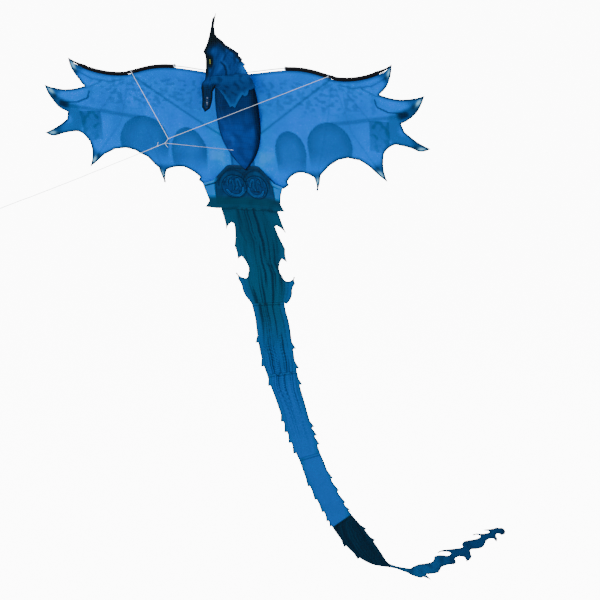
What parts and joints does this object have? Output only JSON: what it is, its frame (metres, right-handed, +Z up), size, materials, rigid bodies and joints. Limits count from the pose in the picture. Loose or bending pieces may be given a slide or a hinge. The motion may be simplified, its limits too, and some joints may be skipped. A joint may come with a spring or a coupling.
{
  "type": "dragon kite",
  "caption": "Single-line dragon kite with framed clawed wings, puffed belly, profile head, long thorned tail, bridle and flying line.",
  "frame": {"origin": "the tow point, where the flying line's knot meets the bridle's tow loop", "axes": "+Z up in flight, -Y forward along the flying line towards the flyer, +X to the right as seen from the flyer's side; the nodes named left are at -X"},
  "size_m": [1.5607, 1.4381, 1.885],
  "materials": {
    "dark_rod": "pultruded carbon fibre rod, satin",
    "pale_rod": "glass fibre rod, pale grey, satin",
    "moulded_black": "moulded vinyl, matte",
    "black_sleeve": "woven polyester sleeve and applique, black",
    "wing_cloth": "printed ripstop polyester, azure, lets light through",
    "belly_cloth": "printed polyester, navy, puffed",
    "head_cloth": "printed polyester, navy, double layer",
    "eye_cloth": "applique, yellow green",
    "hips_cloth": "printed polyester, navy and blue",
    "red_pocket": "webbing pocket, dark red",
    "tail_top_cloth": "printed ripstop polyester, teal with dark streaks",
    "tail_blue_cloth": "printed ripstop polyester, blue",
    "tail_dark_cloth": "ripstop polyester, black blue",
    "tail_end_cloth": "ripstop polyester, steel blue",
    "white_cord": "braided polyester cord, white"
  },
  "bodies": {
    "kite": {"spine_rod": "dark_rod", "spine_top_cap": "moulded_black", "spine_tail_cap": "moulded_black", "centre_connector": "moulded_black", "lower_connector": "moulded_black", "left_inner_spar": "pale_rod", "right_inner_spar": "pale_rod", "left_wrist_joiner": "moulded_black", "right_wrist_joiner": "moulded_black", "left_strut": "dark_rod", "right_strut": "dark_rod", "left_inner_sleeve": "black_sleeve", "right_inner_sleeve": "black_sleeve", "left_inner_sail": "wing_cloth", "right_inner_sail": "wing_cloth", "body_panel": "wing_cloth", "belly_pouch": "belly_cloth", "hips_panel": "hips_cloth", "left_haunch_patch": "hips_cloth", "right_haunch_patch": "hips_cloth", "left_bridle_ring": "white_cord", "right_bridle_ring": "white_cord", "left_bridle_leg": "white_cord", "right_bridle_leg": "white_cord", "bridle_top_knot": "white_cord", "bridle_pigtail": "white_cord", "bridle_tow_knot": "white_cord", "lower_bridle_leg": "white_cord", "lower_bridle_knot": "white_cord", "tow_loop": "white_cord", "line_knot": "white_cord", "flying_line": "white_cord", "line_end_loop": "white_cord"},
    "left_wing_tip": {"left_outer_spar": "pale_rod", "left_outer_sleeve": "black_sleeve", "left_outer_sail": "wing_cloth", "left_tip_batten": "dark_rod", "left_batten_pocket": "red_pocket", "left_spar_cap": "moulded_black"},
    "right_wing_tip": {"right_outer_spar": "pale_rod", "right_outer_sleeve": "black_sleeve", "right_outer_sail": "wing_cloth", "right_tip_batten": "dark_rod", "right_batten_pocket": "red_pocket", "right_spar_cap": "moulded_black"},
    "head": {"head_panel": "head_cloth", "head_crest": "black_sleeve", "head_eye": "eye_cloth", "horn_rod": "dark_rod", "horn_rod_sleeve": "black_sleeve"},
    "tail_top_body": {"tail_barbed": "tail_top_cloth"},
    "tail_upper_body": {"tail_upper": "tail_top_cloth"},
    "tail_middle_body": {"tail_middle": "tail_blue_cloth"},
    "tail_lower_body": {"tail_lower": "tail_blue_cloth"},
    "tail_dark_body": {"tail_dark": "tail_dark_cloth"},
    "tail_flame_body": {"tail_flame": "tail_end_cloth"}
  },
  "joints": [
    {"name": "left_wing_flex", "type": "hinge", "parent": "kite", "child": "left_wing_tip", "pos_m": [-0.367, 0.456, 0.137], "axis": [0, 0, -1], "range_deg": [-10, 35], "stiffness_Nm_per_rad": 0.6},
    {"name": "right_wing_flex", "type": "hinge", "parent": "kite", "child": "right_wing_tip", "pos_m": [0.367, 0.456, 0.137], "axis": [0, 0, 1], "range_deg": [-10, 35], "stiffness_Nm_per_rad": 0.6},
    {"name": "head_swing", "type": "hinge", "parent": "kite", "child": "head", "pos_m": [0.04, 0.442, 0.137], "axis": [0, 0, 1], "range_deg": [-25, 15], "stiffness_Nm_per_rad": 0.02},
    {"name": "tail_root_bend", "type": "hinge", "parent": "kite", "child": "tail_top_body", "pos_m": [0, 0.54015, -0.318], "axis": [1, 0, 0], "range_deg": [-30, 30]},
    {"name": "tail_bend_below_barbs", "type": "hinge", "parent": "tail_top_body", "child": "tail_upper_body", "pos_m": [0.05, 0.54015, -0.638], "axis": [0.9936, 0, 0.1126], "range_deg": [-30, 30]},
    {"name": "tail_bend_upper", "type": "hinge", "parent": "tail_upper_body", "child": "tail_middle_body", "pos_m": [0.087, 0.54015, -0.879], "axis": [0.9748, 0, 0.2231], "range_deg": [-30, 30]},
    {"name": "tail_bend_middle", "type": "hinge", "parent": "tail_middle_body", "child": "tail_lower_body", "pos_m": [0.173, 0.54015, -1.163], "axis": [0.9301, 0, 0.3674], "range_deg": [-30, 30]},
    {"name": "tail_bend_lower", "type": "hinge", "parent": "tail_lower_body", "child": "tail_dark_body", "pos_m": [0.283, 0.54015, -1.382], "axis": [0.787, 0, 0.6169], "range_deg": [-30, 30]},
    {"name": "tail_twist_bend", "type": "hinge", "parent": "tail_dark_body", "child": "tail_flame_body", "pos_m": [0.457, 0.54015, -1.518], "axis": [0.0669, 0, 0.9978], "range_deg": [-30, 30]}
  ]
}
